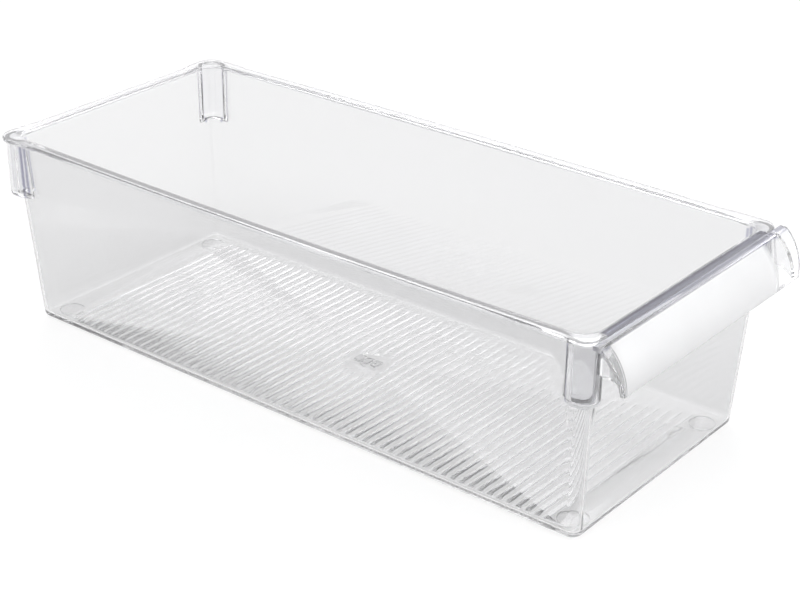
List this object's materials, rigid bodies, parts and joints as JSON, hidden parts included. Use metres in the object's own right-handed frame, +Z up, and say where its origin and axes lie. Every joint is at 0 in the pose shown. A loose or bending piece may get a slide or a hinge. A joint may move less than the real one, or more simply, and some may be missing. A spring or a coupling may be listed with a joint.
{
  "type": "storage bin",
  "caption": "Clear plastic pull-out storage bin for a fridge shelf, with a ribbed floor, corner pockets and a curved front grip.",
  "frame": {"origin": "centre of the whole object's footprint, on the surface that it stands on", "axes": "+Z up, -Y towards the front grip, +Y the bin's long direction, +X across the bin to the right when seen from the front"},
  "size_m": [0.1556, 0.3702, 0.102],
  "materials": {
    "clear_bin": "clear polished plastic",
    "clear_grip": "clear plastic, slightly milky",
    "clear_foot": "clear soft plastic"
  },
  "bodies": {
    "root": {"bin_tub": "clear_bin", "front_handle": "clear_grip", "foot_front_left": "clear_foot", "foot_front_right": "clear_foot", "foot_back_left": "clear_foot", "foot_back_right": "clear_foot"}
  },
  "joints": []
}
